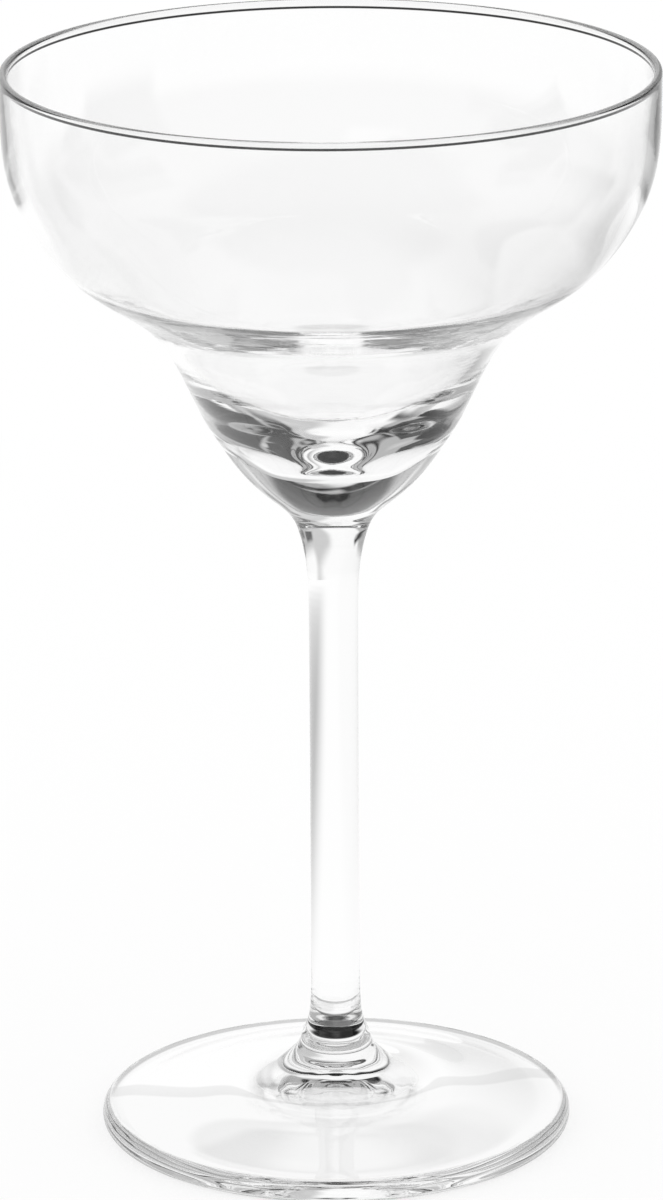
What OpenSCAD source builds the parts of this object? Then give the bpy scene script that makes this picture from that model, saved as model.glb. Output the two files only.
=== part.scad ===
// Margarita glass: a wide saucer over a small rounded well, a solid stem and a low domed foot.
// Each piece is an outline turned about the upright axis. The pieces meet face to face at two
// round welds. Origin: centre of the plane that the foot stands on, +Z up.

/* [Bowl] */
// Outside diameter of the saucer at the rim
rim_dia = 104; // [94:1:116]
// Height of the bowl, from its weld with the stem up to the rim
bowl_height = 75.5; // [68:0.5:86]
// Diameter of the weld between the bowl and the stem
neck_dia = 11; // [9.5:0.1:13]
// Thickness of the glass at the rim
rim_wall = 1.3; // [0.9:0.05:1.8]
// Thickness of the glass in the steep side of the saucer
saucer_wall = 1.9; // [1.4:0.05:2.5]
// Thickness of the glass where the saucer's floor turns up into its side
belly_wall = 1.7; // [1.2:0.1:2.4]
// Thickness of the glass in the sloping floor of the saucer
shoulder_wall = 1.3; // [1:0.1:2]
// Thickness of the glass at the waist, between the saucer and the well
waist_wall = 3.3; // [2.4:0.1:4.4]
// Thickness of the glass in the side of the well
well_wall = 2.7; // [2:0.1:3.6]
// Thickness of the solid glass between the weld and the bottom of the well
well_base = 13.9; // [12.5:0.1:15.5]

/* [Stem] */
// Diameter of the straight part of the stem
stem_dia = 7.9; // [6.5:0.1:9.4]
// Length of the stem, from weld to weld
stem_length = 80; // [55:1:105]
// Diameter of the weld between the stem and the foot
ankle_dia = 8.2; // [7.2:0.1:9.6]

/* [Foot] */
// Diameter of the foot
foot_dia = 76.4; // [66:0.2:90]
// Height of the weld between the foot and the stem
foot_height = 20.5; // [17:0.5:26]
// Diameter of the boss where it runs out into the foot
boss_dia = 19; // [15:0.5:24]
// Height of the foot's upper face around the boss
dome_height = 9.9; // [8.4:0.1:11.6]
// Thickness of the foot at its rounded edge
edge_thickness = 3.9; // [3.1:0.1:4.7]
// Reach of the rounded edge, inwards from the foot's diameter
edge_round = 1.7; // [1.2:0.1:2.4]
// Height of the hollow under the middle of the foot
hollow_height = 5.5; // [4:0.1:6.8]
// Width of the flat ring that the foot stands on
contact_width = 2; // [1:0.1:3]

/* [Hidden] */
$fn = 96;

// Steps in each stretch of a curve, and in each half round
curve_steps = 5;
round_steps = 10;

rim_r = rim_dia / 2;
neck_r = neck_dia / 2;
stem_r = stem_dia / 2;
ankle_r = ankle_dia / 2;
boss_r = boss_dia / 2;
foot_r = foot_dia / 2;
bowl_z = foot_height + stem_length;
rim_z = bowl_z + bowl_height;
lip_r = rim_wall / 2;
lip_z = rim_z - lip_r;
floor_z = bowl_z + well_base;

// Outside of the bowl: share of the way out from the weld to the rim, share of the way up
bowl_shares = [
    [0, 0], [0.01, 0.02], [0.04, 0.05], [0.115, 0.085], [0.19, 0.13], [0.26, 0.19],
    [0.34, 0.27], [0.4, 0.36], [0.465, 0.43], [0.54, 0.48], [0.635, 0.52], [0.765, 0.57],
    [0.855, 0.63], [0.94, 0.71], [0.99, 0.8], [1, 0.9], [1, 1]
];
// Heights of the named walls, as shares of the way up the outside
well_share = 0.36;
waist_share = 0.46;
shoulder_share = 0.57;
belly_share = 0.63;
saucer_share = 0.71;
// Bottom of the well: share of its radius inside, share of the way up its rounded floor
floor_shares = [[0, 0], [0.3, 0], [0.4, 0.2], [0.8, 0.56]];
// Ends of the stem: share of its length, share of the way from its own radius to the weld's
ankle_shares = [[0, 1], [0.012, 0.8], [0.03, 0.1], [0.06, 0]];
flare_shares = [[0.72, 0], [0.82, 0.01], [0.9, 0.06], [0.95, 0.35], [0.985, 0.75], [1, 1]];
// Boss of the foot: share of the way out from the weld, share of the way down to the dome
boss_shares = [
    [0, 0], [0.015, 0.12], [0.085, 0.3], [0.275, 0.49], [0.32, 0.67], [0.64, 0.83], [0.86, 0.95], [1, 1]
];
// Dome of the foot: share of the way out from the boss, share of the way down to the edge
dome_shares = [[0, 0], [0.2, 0.35], [0.45, 0.42], [0.75, 0.79], [0.93, 0.98], [1, 1]];
// Hollow of the foot: share of its radius, share of its height
hollow_shares = [[1, 0], [0.95, 0.02], [0.77, 0.3], [0.53, 0.64], [0.27, 0.71], [0, 1.15]];

edge_r = foot_r - edge_round;
ring_in_r = edge_r - contact_width;

// Point of a smooth curve that four points steer
function steered(a, b, c, d, u) = (
    pow(1 - u, 3) * a + (3 * pow(u, 3) - 6 * pow(u, 2) + 4) * b
    + (1 + 3 * u + 3 * pow(u, 2) - 3 * pow(u, 3)) * c + pow(u, 3) * d) / 6;
// Smooth curve from the first point of a list to its last, steered by the points between
function curve(points, before, after) = let (p = concat([before], points, [after]), last = len(p) - 4)
    concat(
        [for (i = [0 : last], k = [0 : curve_steps - 1])
            steered(p[i], p[i + 1], p[i + 2], p[i + 3], k / curve_steps)],
        [steered(p[last], p[last + 1], p[last + 2], p[last + 3], 1)]
    );
// Point as far past an end as the next point is before it, so that the curve leaves straight
function past(end, next) = 2 * end - next;
// Point mirrored across the axis, so that the curve meets the axis level
function mirrored(p) = [-p[0], p[1]];
function reversed(points) = [for (i = [len(points) - 1 : -1 : 0]) points[i]];
function open_curve(points) = let (last = len(points) - 1)
    curve(points, past(points[0], points[1]), past(points[last], points[last - 1]));
// Points that lie at shares of the way from one corner to the opposite one
function between(from, to, shares) = [for (s = shares)
    [from[0] + (to[0] - from[0]) * s[0], from[1] + (to[1] - from[1]) * s[1]]];

// Thickness of the bowl at a share of the way up
function wall_at(share) = lookup(share, [
    [well_share, well_wall], [waist_share, waist_wall], [shoulder_share, shoulder_wall],
    [belly_share, belly_wall], [saucer_share, saucer_wall], [1, rim_wall]
]);
// Direction into the glass, square to the line from a lower point to a higher one
function inward(low, high) = [low[1] - high[1], high[0] - low[0]] / norm(high - low);

outside_points = between([neck_r, bowl_z], [rim_r, lip_z], bowl_shares);
// The inside follows the outside at the thickness of the wall, from the well up to the rim
side_points = concat(
    [for (i = [1 : len(bowl_shares) - 2]) if (bowl_shares[i][1] >= well_share)
        outside_points[i] + wall_at(bowl_shares[i][1]) * inward(outside_points[i - 1], outside_points[i + 1])],
    [[rim_r - rim_wall, lip_z]]
);
floor_points = between([0, floor_z], side_points[0], floor_shares);
inside = curve(
    concat(floor_points, side_points), mirrored(floor_points[1]),
    past(side_points[len(side_points) - 1], side_points[len(side_points) - 2])
);
// Half round that runs over a wall's end or round an edge, without its own two ends
function half_round(middle, reach, rise, start) = [for (k = [1 : round_steps - 1])
    let (a = start - 180 * k / round_steps) middle + [reach * cos(a), rise * sin(a)]];

stem_points = concat(
    [for (s = ankle_shares) [stem_r + (ankle_r - stem_r) * s[1], foot_height + stem_length * s[0]]],
    [for (s = flare_shares) [stem_r + (neck_r - stem_r) * s[1], foot_height + stem_length * s[0]]]
);

upper_points = concat(
    between([ankle_r, foot_height], [boss_r, dome_height], boss_shares),
    between([boss_r, dome_height], [edge_r, edge_thickness], dome_shares)
);
edge = half_round([edge_r, edge_thickness / 2], edge_round, edge_thickness / 2, 90);
hollow_points = [for (s = hollow_shares) [ring_in_r * s[0], hollow_height * s[1]]];
hollow = curve(
    hollow_points, past(hollow_points[0], hollow_points[1]),
    mirrored(hollow_points[len(hollow_points) - 2])
);

module turned(outline) rotate_extrude() polygon(outline);

module bowl() color([0.93, 0.96, 0.96, 0.4]) turned(concat(
    [[0, bowl_z]], open_curve(outside_points),
    reversed(half_round([rim_r - lip_r, lip_z], lip_r, lip_r, 180)), reversed(inside)
));

module stem() color([0.92, 0.95, 0.95, 0.5]) turned(concat(
    [[0, foot_height]], open_curve(stem_points), [[0, bowl_z]]
));

module foot() color([0.93, 0.96, 0.96, 0.45]) turned(concat(
    [[0, foot_height]], open_curve(upper_points), edge, [[edge_r, 0]], hollow
));

bowl();
stem();
foot();
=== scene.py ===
"""Looks of the margarita glass: three smooth pieces of clear glass on a white studio floor."""

import math

import bpy
import numpy as np
from mathutils import Matrix, Vector


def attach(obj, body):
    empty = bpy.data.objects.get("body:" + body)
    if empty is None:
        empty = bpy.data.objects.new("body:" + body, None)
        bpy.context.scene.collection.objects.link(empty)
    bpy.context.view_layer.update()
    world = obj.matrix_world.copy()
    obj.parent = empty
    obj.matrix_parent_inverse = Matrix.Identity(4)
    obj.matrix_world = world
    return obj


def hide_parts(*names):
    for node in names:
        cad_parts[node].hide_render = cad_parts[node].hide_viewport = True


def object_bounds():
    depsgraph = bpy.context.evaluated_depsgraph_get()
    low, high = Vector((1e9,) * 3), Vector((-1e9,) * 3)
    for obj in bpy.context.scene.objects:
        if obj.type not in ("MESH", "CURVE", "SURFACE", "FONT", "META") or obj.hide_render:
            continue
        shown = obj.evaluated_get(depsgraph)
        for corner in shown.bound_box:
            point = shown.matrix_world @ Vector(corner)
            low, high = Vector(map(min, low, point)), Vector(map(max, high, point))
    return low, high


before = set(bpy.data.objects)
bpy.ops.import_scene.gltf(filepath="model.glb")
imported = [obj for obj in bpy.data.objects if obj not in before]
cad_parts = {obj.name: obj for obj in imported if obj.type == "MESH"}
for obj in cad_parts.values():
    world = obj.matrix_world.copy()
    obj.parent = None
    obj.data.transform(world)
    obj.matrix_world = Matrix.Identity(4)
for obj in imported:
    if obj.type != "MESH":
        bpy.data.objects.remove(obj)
cad_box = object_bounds()

MM = 0.001

# Camera, worked out from the rim and foot ellipses of the photograph
PHOTO_HEIGHT_PIXELS = 1200
FOCAL_PIXELS = 6894
SENSOR_MM = 36
AXIS_OFFSET_PIXELS = 1.9
CAMERA_BACK = 1056.1 * MM
CAMERA_HEIGHT = 411.7 * MM
CAMERA_PITCH = math.radians(17)
CAMERA_ROLL = math.radians(-0.33)

# Mesh of the turned pieces: columns round the axis, and rings between two rings of the CAD outline
COLUMNS = 192
RINGS_BETWEEN = 2
# Two CAD vertices closer than this are on one ring
RING_GAP = 0.002 * MM
# The outline goes on past the axis for this many rings, mirrored, so that the curve meets the axis level
RINGS_PAST_AXIS = 3

# The pieces from the top down, each joined to the next by a hot weld
PIECES = ("bowl", "stem", "foot")

# Swells inside the bowl, as glass has that was shaped hot: their height, and where they fade out
SWELL = 0.02 * MM
FADE = 6 * MM
# Waves round the axis, length of a wave along the wall in mm, phase, share of the height
SWELLS = ((2, 31, 0.4, 0.5), (3, -19, 2.1, 0.35), (5, 13, 4.0, 0.2), (8, -9, 1.2, 0.12))

GLASS_IOR = 1.52
GLASS_COLOUR = (0.998, 0.998, 0.998, 1)
# Light turns this many times in the thick glass before it is lost
GLASS_BOUNCES = 64

# Surface of each piece: features per metre along x, y and z of its fine streaks and how far they stand
# out, and the same for its broad ripples
SURFACES = {
    "bowl": ((60, 60, 500), 0.0015 * MM, (30, 30, 120), 0.006 * MM),
    "stem": ((500, 500, 12), 0.001 * MM, (60, 60, 30), 0.004 * MM),
    "foot": ((150, 150, 150), 0.0006 * MM, (30, 30, 30), 0.002 * MM),
}
# How many finer layers each noise has, and a shift that keeps the noises apart
STREAK_DETAIL = 2.0
RIPPLE_DETAIL = 1.0
RIPPLE_SHIFT = 3.7
# Wear: features per metre, finer layers, noise where it starts and is full, and least and most roughness
WEAR_STRETCH = (90, 90, 90)
WEAR_DETAIL = 3.0
WEAR_NOISE = (0.45, 0.75)
WEAR_ROUGHNESS = (0.0, 0.006)

# Level lines in the shoulder of the bowl: heights where they start, are full, end to fade and are gone,
# features per metre along x, y and z, finer layers, shift, and how far they stand out
DRAWN_HEIGHTS = (122 * MM, 128 * MM, 142 * MM, 148 * MM)
DRAWN_STRETCH = (35, 35, 900)
DRAWN_DETAIL = 2.0
DRAWN_SHIFT = 1.3
DRAWN_HEIGHT = 0.02 * MM

# Floor of two sheets of white paper. Their joint and shades show only through the glass.
FLOOR_RADIUS = 420 * MM
FLOOR_DROP = 0.02 * MM
FLOOR_SHADOW = 0.2
SEAM_PLACE = 9 * MM
SEAM_ACROSS = (-0.1, 1, 0)
SEAM_WIDTH = 4.4 * MM
# Shares of the width, from the joint's middle, where its shade starts and ends to fade
SEAM_FADE = (0.4, 0.6)
SEAM_SHADE = 0.92
FRONT_SHEET = 0.98
BACK_SHEET = 1.0
# The floor is dimmer in a patch to the right: how far to the right this starts and is full, how far from
# the middle it starts to fade and is gone, and the least share of light
DIM_ACROSS = (40 * MM, 150 * MM)
DIM_AWAY = (200 * MM, 400 * MM)
DIM_LIGHT = 0.45
# Shade under the boss: radius, soft edge and grey. A painted sheen, in place of the paper's gloss, hides it
# at a
# low angle: how far the view is tipped over where the sheen starts and where it is full, 0 straight down and
# 1 level
CORE_RADIUS = 20 * MM
CORE_SOFT = 7 * MM
CORE_SHADE = 0.1
PAINTED_SHEEN_TIP = (0.34, 0.52)
# It shows only where the glass mirrors the floor. Light that comes straight through the foot meets glass
# twice, at its upper face and in its hollow
STRAIGHT_DEPTH = 2.5
# Shade round the foot's edge: radii where it starts, is full, ends to fade and is gone, and its grey
EDGE_RADII = (36.4 * MM, 37.2 * MM, 38.4 * MM, 39.6 * MM)
EDGE_SHADE = 0.76

# Painted shade: a fine dark line painted round the inside of the bowl, just under the rim, in place of
# the dark line that refraction in the rim shows: how far below the top, how far from its middle it starts
# and ends to fade, its colour, and how deep the wall is at least there
LINE_DROP = 1.25 * MM
LINE_FADE = (0.15 * MM, 0.26 * MM)
PAINTED_LINE_COLOUR = 0.0
LINE_DEPTH = 0.6 * MM

# The studio that the glass shows, painted in this order. Bands: grey that it shows as, elevation
# where it starts and soft edge in degrees.
BANDS = {
    "walls": (0.7, 0, 10),
    "ceiling": (0.2, 55, 10),
    "zenith": (0, 80, 5),
}
# Cards in front of the bands: grey, azimuth, elevation, width, height, tilt and soft edge in degrees.
# Azimuth 0 is behind the glass, and + is to the right.
CARDS = {
    "backdrop": (1, -15, 0, 50, 80, -25, 10),
    "backdrop's right": (0.8, 20, 10, 25, 35, -25, 10),
    "beam": (0.1, 0, 45, 55, 10, 10, 3),
    "softbox": (0.9, 10, 50, 25, 8, 20, 5),
    "left stand": (0, -50, 15, 45, 5, -30, 5),
    "left wall": (0.2, -85, 20, 20, 20, 0, 3),
    "left lamp": (0.1, -85, 35, 15, 10, -50, 3),
    "left door": (0.1, -105, 20, 20, 25, 0, 3),
    "left window": (0.5, -120, 10, 15, 15, 0, 3),
    "left low": (0.1, -95, 5, 25, 10, -45, 3),
    "right stand": (0.3, 35, 10, 15, 10, 0, 5),
    "right wall": (0.3, 60, 20, 25, 20, 0, 5),
    "right low": (0.3, 65, 5, 15, 10, -30, 3),
    "right door": (0.3, 95, 10, 35, 35, 0, 5),
    "right bar": (0.3, 80, 35, 25, 10, 30, 3),
    "right light": (0.7, 45, 25, 15, 15, -35, 3),
    "right edge": (0.8, 20, -20, 20, 15, 30, 10),
    "back light": (0.9, -160, 40, 20, 10, 0, 5),
    "back dark": (0.3, -135, 55, 35, 20, 20, 5),
}


def place_camera():
    """Camera at the photograph's viewing angle."""
    data = bpy.data.cameras.new("camera")
    data.sensor_width = SENSOR_MM
    data.lens = FOCAL_PIXELS * SENSOR_MM / PHOTO_HEIGHT_PIXELS
    data.shift_x = -AXIS_OFFSET_PIXELS / PHOTO_HEIGHT_PIXELS
    camera = bpy.data.objects.new("camera", data)
    bpy.context.scene.collection.objects.link(camera)
    camera.location = (0, -CAMERA_BACK, CAMERA_HEIGHT)
    ahead = Vector((0, math.cos(CAMERA_PITCH), -math.sin(CAMERA_PITCH)))
    roll = Matrix.Rotation(CAMERA_ROLL, 3, "Z").to_quaternion()
    camera.rotation_mode = "QUATERNION"
    camera.rotation_quaternion = ahead.to_track_quat("-Z", "Y") @ roll
    bpy.context.scene.camera = camera


def cad_outline(node):
    """Outline (radius, height) of a turned CAD piece, from its higher end to its lower one."""
    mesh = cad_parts[node].data
    points = np.array([v.co for v in mesh.vertices], float)
    radius = np.hypot(points[:, 0], points[:, 1])
    height = points[:, 2]
    order = np.lexsort((radius, np.round(height / RING_GAP)))
    apart = np.maximum(abs(np.diff(radius[order])), abs(np.diff(height[order]))) > RING_GAP
    ring = np.empty(len(points), int)
    ring[order] = np.concatenate([[0], np.cumsum(apart)])
    size = np.bincount(ring)
    rings = np.stack([np.bincount(ring, radius) / size, np.bincount(ring, height) / size], 1)
    beside = [set() for _ in rings]
    for edge in mesh.edges:
        a, b = ring[edge.vertices[0]], ring[edge.vertices[1]]
        if a != b:
            beside[a].add(b)
            beside[b].add(a)
    ends = [i for i, near in enumerate(beside) if len(near) == 1]
    walk = [max(ends, key=lambda i: rings[i][1])]
    while True:
        onward = [i for i in beside[walk[-1]] if i not in walk[-2:]]
        if not onward:
            return rings[walk]
        walk.append(onward[0])


def spline(points, steps):
    """Smooth curve through points: steps between each two, with an even bend (natural cubic spline)."""
    gap = np.sqrt(np.hypot(*np.diff(points, axis=0).T))
    n = len(points)
    system = np.zeros((n, n))
    system[0, 0] = system[-1, -1] = 1
    turn = np.zeros((n, 2))
    for i in range(1, n - 1):
        system[i, i - 1 : i + 2] = gap[i - 1], 2 * (gap[i - 1] + gap[i]), gap[i]
        turn[i] = 6 * ((points[i + 1] - points[i]) / gap[i] - (points[i] - points[i - 1]) / gap[i - 1])
    bend = np.linalg.solve(system, turn)
    curve = []
    for i in range(n - 1):
        for step in range(steps):
            b = step / steps
            a = 1 - b
            curve.append(
                a * points[i] + b * points[i + 1]
                + ((a ** 3 - a) * bend[i] + (b ** 3 - b) * bend[i + 1]) * gap[i] ** 2 / 6
            )
    curve.append(points[-1])
    return np.array(curve)


def whole_outline():
    """Smooth outline of the glass, from the floor of its well over the rim and down under its foot.

    Also gives the numbers of its points at the rim's top and at the two welds."""
    points = cad_outline(PIECES[0])
    welds = []
    for node in PIECES[1:]:
        welds.append((len(points) - 1) * RINGS_BETWEEN)
        points = np.concatenate([points, cad_outline(node)[1:]])
    points[[0, -1], 0] = 0
    mirrored = points * [-1, 1]
    past_start = mirrored[RINGS_PAST_AXIS:0:-1]
    past_end = mirrored[-2 : -2 - RINGS_PAST_AXIS : -1]
    curve = spline(np.concatenate([past_start, points, past_end]), RINGS_BETWEEN)
    extra = RINGS_PAST_AXIS * RINGS_BETWEEN
    curve = curve[extra:-extra]
    curve = np.clip(curve, points.min(axis=0), points.max(axis=0))
    curve[[0, -1], 0] = 0
    # The CAD's rings have flat sides, so the box of a CAD ring can be a hair narrower than the ring
    box_reach = np.abs(np.array(cad_box)[:, :2]).min()
    curve[:, 0] *= min(1, box_reach / curve[:, 0].max())
    return curve, int(np.argmax(curve[:, 1])), welds


def swell(angle, run, radius, rim_run):
    """How far the inside of the bowl stands off its true turned shape."""
    wave = sum(
        share * np.sin(turns * angle + 2 * math.pi * run / (length * MM) + phase)
        for turns, length, phase, share in SWELLS
    )
    fade = np.clip(radius / FADE, 0, 1) * np.clip((rim_run - run) / FADE, 0, 1)
    return SWELL * wave * fade


def turned_grid():
    """Points and normals of the whole glass: rings down the outline, columns round the axis."""
    curve, top, welds = whole_outline()
    run = np.concatenate([[0], np.cumsum(np.hypot(*np.diff(curve, axis=0).T))])
    slope = np.gradient(curve, run, axis=0)
    slope /= np.hypot(*slope.T)[:, None]
    angle = np.arange(COLUMNS) * 2 * math.pi / COLUMNS
    offset = swell(angle[None], run[:, None], curve[:, :1], run[top])
    radius = curve[:, :1] - slope[:, 1:] * offset
    height = curve[:, 1:] + slope[:, :1] * offset
    grid = np.stack([radius * np.cos(angle), radius * np.sin(angle), height + 0 * angle], 2)
    down = np.gradient(grid, run, axis=0)
    around = np.roll(grid, -1, axis=1) - np.roll(grid, 1, axis=1)
    normal = np.cross(down, around)
    normal[0] = 0, 0, 1
    normal[-1] = 0, 0, -1
    normal /= np.linalg.norm(normal, axis=2)[:, :, None]
    return grid, normal, welds


def turned_piece(name, grid, normal, material, weld):
    """Closed mesh of a stretch of the grid. An end that isn't on the axis is closed by a weld face."""
    vertices, normals, rows = [], [], []
    for ring, ring_normal in zip(grid, normal):
        on_axis = np.hypot(*ring[0, :2]) < RING_GAP
        count = 1 if on_axis else COLUMNS
        rows.append([len(vertices) + k % count for k in range(COLUMNS)])
        vertices.extend(ring[:count])
        normals.extend(ring_normal[:count])
    faces = []
    for upper, lower in zip(rows, rows[1:]):
        for k in range(COLUMNS):
            after = (k + 1) % COLUMNS
            corners = [upper[k], lower[k], lower[after], upper[after]]
            faces.append(list(dict.fromkeys(corners)))
    sides = len(faces)
    if len(set(rows[0])) > 1:
        faces.append(rows[0])
    if len(set(rows[-1])) > 1:
        faces.append(rows[-1][::-1])
    mesh = bpy.data.meshes.new(name)
    mesh.from_pydata([tuple(v) for v in vertices], [], faces)
    mesh.materials.append(material)
    mesh.materials.append(weld)
    for face in mesh.polygons:
        face.use_smooth = True
        face.material_index = int(face.index >= sides)
    mesh.normals_split_custom_set_from_vertices([tuple(n) for n in normals])
    piece = bpy.data.objects.new(name, mesh)
    bpy.context.scene.collection.objects.link(piece)
    return piece


def add_node(tree, kind, inputs=(), **settings):
    """New node. Each input is a value, or a socket to link."""
    made = tree.nodes.new(kind)
    for name, value in settings.items():
        setattr(made, name, value)
    for key, value in dict(inputs).items():
        if isinstance(value, bpy.types.NodeSocket):
            tree.links.new(value, made.inputs[key])
        else:
            made.inputs[key].default_value = value
    return made


def math_node(tree, operation, *values):
    """Output of a Math node."""
    return add_node(tree, "ShaderNodeMath", enumerate(values), operation=operation).outputs[0]


def ramp(tree, value, start, end, low=0.0, high=1.0):
    """Output that goes smoothly from low to high while the value goes from start to end."""
    inputs = {"Value": value, "From Min": start, "From Max": end, "To Min": low, "To Max": high}
    return add_node(tree, "ShaderNodeMapRange", inputs, interpolation_type="SMOOTHSTEP").outputs[0]


def mix(tree, share, a, b):
    """Output that goes from a to b while the share goes from 0 to 1."""
    return add_node(tree, "ShaderNodeMix", {"Factor": share, 2: a, 3: b}, data_type="FLOAT").outputs[0]


def noise(tree, stretch, detail, shift=0.0):
    """Noise in the object's own coordinates, with so many features per metre along x, y and z."""
    place = add_node(tree, "ShaderNodeTexCoord").outputs["Object"]
    moved = {"Vector": place, "Location": (shift,) * 3, "Scale": stretch}
    mapped = add_node(tree, "ShaderNodeMapping", moved).outputs[0]
    inputs = {"Vector": mapped, "Scale": 1.0, "Detail": detail, "Roughness": 0.5}
    return add_node(tree, "ShaderNodeTexNoise", inputs).outputs["Fac"]


def along(tree, vector, axis):
    """How far a vector reaches along an axis."""
    dot = add_node(tree, "ShaderNodeVectorMath", {0: vector, 1: axis}, operation="DOT_PRODUCT")
    return dot.outputs["Value"]


def length(tree, vector):
    """Length of a vector."""
    return add_node(tree, "ShaderNodeVectorMath", {0: vector}, operation="LENGTH").outputs["Value"]


def new_material(name):
    """Material with an empty node tree, and its output node."""
    material = bpy.data.materials.new(name)
    material.use_nodes = True
    tree = material.node_tree
    tree.nodes.clear()
    return material, tree, add_node(tree, "ShaderNodeOutputMaterial")


def painted_rim_shade(tree):
    """Colour of the bowl's glass: clear, but for a painted dark line of shade round the inside, under the
    rim.
    """
    place = add_node(tree, "ShaderNodeTexCoord").outputs["Object"]
    x, y, z = add_node(tree, "ShaderNodeSeparateXYZ", {0: place}).outputs
    flat = add_node(tree, "ShaderNodeCombineXYZ", {0: x, 1: y})
    radius = length(tree, flat.outputs[0])
    off_line = math_node(tree, "ABSOLUTE", math_node(tree, "SUBTRACT", z, cad_box[1][2] - LINE_DROP))
    # Painted shade: the dark line round the inside of the bowl, under the rim
    line = ramp(tree, off_line, LINE_FADE[1], LINE_FADE[0])
    inside = math_node(tree, "LESS_THAN", radius, cad_box[1][0] - LINE_DEPTH)
    return mix(tree, math_node(tree, "MULTIPLY", line, inside), GLASS_COLOUR[0], PAINTED_LINE_COLOUR)


def drawn_lines(tree):
    """Height of the level lines that the mould leaves in the shoulder of the bowl."""
    place = add_node(tree, "ShaderNodeTexCoord").outputs["Object"]
    z = add_node(tree, "ShaderNodeSeparateXYZ", {0: place}).outputs["Z"]
    low, full, end, gone = DRAWN_HEIGHTS
    zone = math_node(tree, "MULTIPLY", ramp(tree, z, low, full), ramp(tree, z, gone, end))
    return math_node(tree, "MULTIPLY", zone, noise(tree, DRAWN_STRETCH, DRAWN_DETAIL, DRAWN_SHIFT))


def bump(tree, height, distance, normal=None):
    """Normal of a surface that stands out by up to the distance where the height is 1."""
    inputs = {"Height": height, "Distance": distance}
    if normal is not None:
        inputs["Normal"] = normal
    return add_node(tree, "ShaderNodeBump", inputs).outputs[0]


def glass_material(node, colour=None, drawn=None):
    """Clear glass with faint streaks and broad ripples in its surface, and a trace of wear."""
    streaks, streak_height, ripples, ripple_height = SURFACES[node]
    material, tree, output = new_material(node + "_glass")
    wear = noise(tree, WEAR_STRETCH, WEAR_DETAIL)
    roughness = ramp(tree, wear, *WEAR_NOISE, *WEAR_ROUGHNESS)
    normal = bump(tree, noise(tree, ripples, RIPPLE_DETAIL, RIPPLE_SHIFT), ripple_height)
    normal = bump(tree, noise(tree, streaks, STREAK_DETAIL), streak_height, normal)
    if drawn:
        normal = bump(tree, drawn(tree), DRAWN_HEIGHT, normal)
    shader = add_node(tree, "ShaderNodeBsdfPrincipled", {
        "Base Color": colour(tree) if colour else GLASS_COLOUR,
        "Roughness": roughness,
        "IOR": GLASS_IOR,
        "Transmission Weight": 1.0,
        "Normal": normal,
    })
    tree.links.new(shader.outputs[0], output.inputs["Surface"])
    return material


def weld_material():
    """The inside of a hot weld: glass against glass, with nothing to see."""
    material, tree, output = new_material("weld")
    shader = add_node(tree, "ShaderNodeBsdfPrincipled", {"Base Color": GLASS_COLOUR, "Alpha": 0.0})
    tree.links.new(shader.outputs[0], output.inputs["Surface"])
    return material


def linear(grey):
    """Brightness that a screen shows as a grey, where 0 is black and 1 is white."""
    return grey / 12.92 if grey <= 0.04045 else ((grey + 0.055) / 1.055) ** 2.4


def card_mask(tree, direction, azimuth, elevation, width, height, tilt, soft):
    """1 in the directions where a card stands, 0 elsewhere. Azimuth 0 is behind the glass, + is right."""
    azimuth, elevation, tilt = (math.radians(angle) for angle in (azimuth, elevation, tilt))
    ahead = Vector((
        math.sin(azimuth) * math.cos(elevation), math.cos(azimuth) * math.cos(elevation), math.sin(elevation)
    ))
    level = Vector((math.cos(azimuth), -math.sin(azimuth), 0))
    across = math.cos(tilt) * level + math.sin(tilt) * level.cross(ahead)
    dots = [along(tree, direction, axis) for axis in (ahead, across, across.cross(ahead))]
    mask = math_node(tree, "GREATER_THAN", dots[0], 0.0)
    for dot, size in zip(dots[1:], (width, height)):
        offset = math_node(tree, "ABSOLUTE", math_node(tree, "DIVIDE", dot, dots[0]))
        half, edge = math.tan(math.radians(size / 2)), math.radians(soft)
        mask = math_node(tree, "MULTIPLY", mask, ramp(tree, offset, half + edge / 2, half - edge / 2))
    return mask


def build_world():
    """White studio. The dark cards and grey screens round it are seen only in the glass."""
    world = bpy.data.worlds.new("studio")
    world.use_nodes = True
    tree = world.node_tree
    tree.nodes.clear()
    direction = add_node(tree, "ShaderNodeTexCoord").outputs["Generated"]
    upward = add_node(tree, "ShaderNodeSeparateXYZ", {0: direction}).outputs["Z"]
    light = 1.0
    for grey, start, soft in BANDS.values():
        low, high = (math.sin(math.radians(start + side * soft / 2)) for side in (-1, 1))
        light = mix(tree, ramp(tree, upward, low, high), light, linear(grey))
    for grey, *place in CARDS.values():
        light = mix(tree, card_mask(tree, direction, *place), light, linear(grey))
    rays = add_node(tree, "ShaderNodeLightPath").outputs
    in_glass = math_node(tree, "MAXIMUM", rays["Is Glossy Ray"], rays["Is Transmission Ray"])
    shown = mix(tree, in_glass, 1.0, light)
    background = add_node(tree, "ShaderNodeBackground", {"Color": shown, "Strength": 1.0})
    output = add_node(tree, "ShaderNodeOutputWorld")
    tree.links.new(background.outputs[0], output.inputs["Surface"])
    bpy.context.scene.world = world


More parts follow.
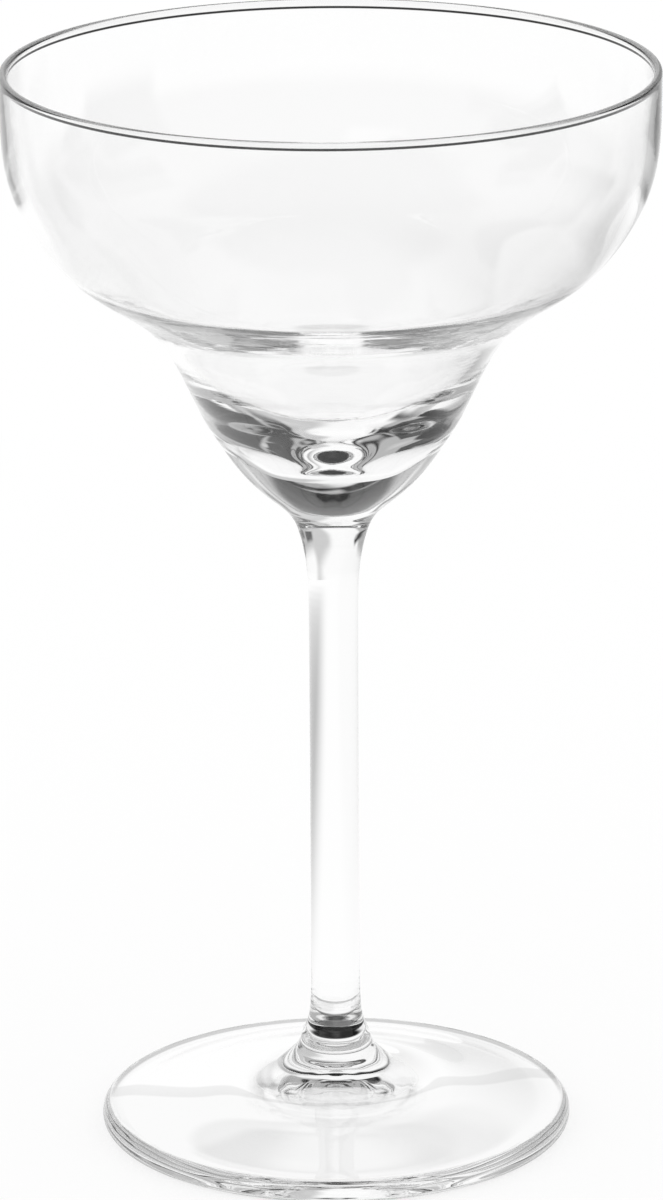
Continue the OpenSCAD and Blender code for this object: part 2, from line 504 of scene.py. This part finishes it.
def floor_material():
    """White paper. It glows enough to show as white, and keeps some of the glass's shadow."""
    material, tree, output = new_material("floor")
    place = add_node(tree, "ShaderNodeTexCoord").outputs["Object"]
    past_seam = math_node(tree, "SUBTRACT", along(tree, place, SEAM_ACROSS), SEAM_PLACE)
    sheet = ramp(tree, past_seam, -SEAM_WIDTH / 2, SEAM_WIDTH / 2, linear(FRONT_SHEET), linear(BACK_SHEET))
    from_seam = math_node(tree, "ABSOLUTE", past_seam)
    fade_start, fade_end = (share * SEAM_WIDTH for share in SEAM_FADE)
    off_seam = ramp(tree, from_seam, fade_start, fade_end, linear(SEAM_SHADE), 1.0)
    rays = add_node(tree, "ShaderNodeLightPath").outputs
    radius = length(tree, place)
    core = ramp(tree, radius, CORE_RADIUS + CORE_SOFT / 2, CORE_RADIUS - CORE_SOFT / 2)
    # Painted sheen: at a low angle the shade under the boss gives way to white, in place of the paper's
    # gloss
    tipped = add_node(tree, "ShaderNodeLayerWeight", {"Blend": 0.5}).outputs["Facing"]
    no_painted_sheen = ramp(tree, tipped, PAINTED_SHEEN_TIP[1], PAINTED_SHEEN_TIP[0])
    turned = math_node(tree, "GREATER_THAN", rays["Ray Depth"], STRAIGHT_DEPTH)
    shaded = math_node(tree, "MULTIPLY", math_node(tree, "MULTIPLY", core, no_painted_sheen), turned)
    under_boss = mix(tree, shaded, 1.0, linear(CORE_SHADE))
    start, full, end, gone = EDGE_RADII
    ring = math_node(tree, "MULTIPLY", ramp(tree, radius, start, full), ramp(tree, radius, gone, end))
    under_edge = mix(tree, ring, 1.0, linear(EDGE_SHADE))
    side = add_node(tree, "ShaderNodeSeparateXYZ", {0: place}).outputs["X"]
    near = ramp(tree, radius, *DIM_AWAY, 1.0, 0.0)
    patch = math_node(tree, "MULTIPLY", ramp(tree, side, *DIM_ACROSS), near)
    in_glass = sheet
    for share in (off_seam, under_boss, under_edge, mix(tree, patch, 1.0, DIM_LIGHT)):
        in_glass = math_node(tree, "MULTIPLY", in_glass, share)
    seen_in_glass = add_node(tree, "ShaderNodeEmission", {"Color": in_glass, "Strength": 1.0})
    glow = add_node(tree, "ShaderNodeEmission", {"Strength": 1.0})
    paper = add_node(tree, "ShaderNodeBsdfDiffuse", {"Color": (1, 1, 1, 1)})
    direct = add_node(tree, "ShaderNodeMixShader", {
        "Fac": FLOOR_SHADOW, 1: glow.outputs[0], 2: paper.outputs[0],
    })
    bent = math_node(tree, "MAXIMUM", rays["Is Glossy Ray"], rays["Is Transmission Ray"])
    shader = add_node(tree, "ShaderNodeMixShader", {
        "Fac": bent, 1: direct.outputs[0], 2: seen_in_glass.outputs[0],
    })
    tree.links.new(shader.outputs[0], output.inputs["Surface"])
    return material


def build_floor():
    """Round sheet of paper that the glass stands on."""
    mesh = bpy.data.meshes.new("floor")
    angles = [2 * math.pi * k / COLUMNS for k in range(COLUMNS)]
    corners = [(FLOOR_RADIUS * math.cos(a), FLOOR_RADIUS * math.sin(a), -FLOOR_DROP) for a in angles]
    mesh.from_pydata(corners, [], [range(COLUMNS)])
    mesh.materials.append(floor_material())
    floor = bpy.data.objects.new("floor", mesh)
    bpy.context.scene.collection.objects.link(floor)


def build_glass():
    """The three pieces, each in place of its CAD node."""
    grid, normal, welds = turned_grid()
    materials = {
        "bowl": glass_material("bowl", painted_rim_shade, drawn_lines),
        "stem": glass_material("stem"),
        "foot": glass_material("foot"),
    }
    weld = weld_material()
    stretches = zip([0] + welds, welds + [len(grid) - 1])
    for node, (first, last) in zip(PIECES, stretches):
        rings = slice(first, last + 1)
        piece = turned_piece("clear_" + node, grid[rings], normal[rings], materials[node], weld)
        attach(piece, "root")
        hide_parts(node)


scene = bpy.context.scene
scene.view_settings.view_transform = "Standard"
scene.cycles.max_bounces = GLASS_BOUNCES
scene.cycles.transmission_bounces = GLASS_BOUNCES
scene.cycles.glossy_bounces = GLASS_BOUNCES
scene.cycles.transparent_max_bounces = GLASS_BOUNCES
place_camera()
build_world()
build_floor()
build_glass()
